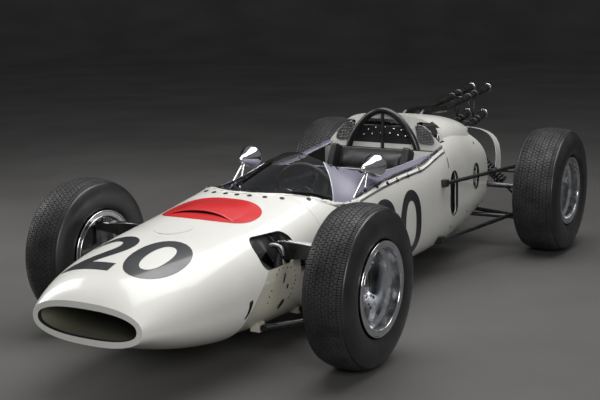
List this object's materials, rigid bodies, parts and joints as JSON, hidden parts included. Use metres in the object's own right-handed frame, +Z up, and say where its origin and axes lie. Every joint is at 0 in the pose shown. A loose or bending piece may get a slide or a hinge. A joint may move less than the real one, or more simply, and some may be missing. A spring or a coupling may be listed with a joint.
{
  "type": "open wheel racing car",
  "caption": "Single-seat open wheel racing car: monocoque tub, oval nose intake, rear engine under a vented cover, exposed suspension, steered front wheels and free-rolling wheels.",
  "frame": {"origin": "on the ground below the middle of the overall length, on the centre plane", "axes": "+Z up; the nose points along -Y; +X is the car's left side"},
  "size_m": [1.622, 3.7627, 0.8579],
  "materials": {
    "body_white": "gloss",
    "duct_olive": "satin",
    "radiator_core": "matt",
    "bulkhead_beige": "satin",
    "smoked_screen": "gloss",
    "wire_mesh": "satin",
    "black_tube": "gloss",
    "seat_leather": "satin",
    "tub_dark": "satin",
    "dash_black": "matt",
    "polished_metal": "polished",
    "cast_engine": "cast",
    "cast_gearbox": "cast",
    "exhaust_dark": "heat darkened",
    "wheel_leather": "satin",
    "dark_steel": "machined",
    "tyre_rubber": "satin",
    "rim_alloy": "polished"
  },
  "bodies": {
    "chassis": {"nose_cowl": "body_white", "nose_duct": "duct_olive", "radiator": "radiator_core", "front_bulkhead": "bulkhead_beige", "monocoque_tub": "body_white", "windscreen": "smoked_screen", "engine_cover": "body_white", "cover_grilles": "wire_mesh", "roll_hoop": "black_tube", "seat": "tub_dark", "seat_cushions": "seat_leather", "dash_panel": "dash_black", "mirrors": "polished_metal", "engine_block": "cast_engine", "intake_trumpets": "polished_metal", "gearbox": "cast_gearbox", "exhausts": "exhaust_dark", "front_rockers": "black_tube", "front_lower_arms": "black_tube", "front_dampers": "black_tube", "rear_uprights": "cast_gearbox", "rear_lower_arms": "black_tube", "rear_links": "black_tube", "rear_dampers": "black_tube", "rack_housing": "cast_gearbox"},
    "steering_wheel": {"steering_wheel": "wheel_leather", "steering_column": "black_tube"},
    "steering_rack": {"steering_rack": "black_tube"},
    "knuckle_left": {"knuckle_left": "cast_gearbox"},
    "knuckle_right": {"knuckle_right": "cast_gearbox"},
    "wheel_front_left": {"tyre_front_left": "tyre_rubber", "rim_front_left": "rim_alloy", "hub_front_left": "dark_steel"},
    "wheel_front_right": {"tyre_front_right": "tyre_rubber", "rim_front_right": "rim_alloy", "hub_front_right": "dark_steel"},
    "wheel_rear_left": {"tyre_rear_left": "tyre_rubber", "rim_rear_left": "rim_alloy", "hub_rear_left": "dark_steel", "half_shaft_left": "dark_steel"},
    "wheel_rear_right": {"tyre_rear_right": "tyre_rubber", "rim_rear_right": "rim_alloy", "hub_rear_right": "dark_steel", "half_shaft_right": "dark_steel"}
  },
  "joints": [
    {"name": "steer_left", "type": "hinge", "parent": "chassis", "child": "knuckle_left", "pos_m": [0.595, -1.08, 0.322], "axis": [0, 0, 1], "range_deg": [-20, 20]},
    {"name": "steer_right", "type": "hinge", "parent": "chassis", "child": "knuckle_right", "pos_m": [-0.595, -1.08, 0.322], "axis": [0, 0, 1], "range_deg": [-20, 20]},
    {"name": "rack_slide", "type": "slide", "parent": "chassis", "child": "steering_rack", "axis": [-1, 0, 0], "range_m": [-0.0385, 0.0385]},
    {"name": "steering_turn", "type": "hinge", "parent": "chassis", "child": "steering_wheel", "pos_m": [0, -0.32, 0.5], "axis": [0, 0.9812, 0.1932], "range_deg": [-180, 180]},
    {"name": "spin_front_left", "type": "hinge", "parent": "knuckle_left", "child": "wheel_front_left", "pos_m": [0.675, -1.08, 0.322], "axis": [1, 0, 0], "continuous": true},
    {"name": "spin_front_right", "type": "hinge", "parent": "knuckle_right", "child": "wheel_front_right", "pos_m": [-0.675, -1.08, 0.322], "axis": [1, 0, 0], "continuous": true},
    {"name": "spin_rear_left", "type": "hinge", "parent": "chassis", "child": "wheel_rear_left", "pos_m": [0.685, 1.22, 0.34], "axis": [1, 0, 0], "continuous": true},
    {"name": "spin_rear_right", "type": "hinge", "parent": "chassis", "child": "wheel_rear_right", "pos_m": [-0.685, 1.22, 0.34], "axis": [1, 0, 0], "continuous": true}
  ],
  "couplings": [
    {"joint": "steer_right", "follows": "steer_left", "ratio": 1},
    {"joint": "rack_slide", "follows": "steer_left", "m_per_rad": 0.11},
    {"joint": "steering_turn", "follows": "steer_left", "ratio": 9}
  ]
}
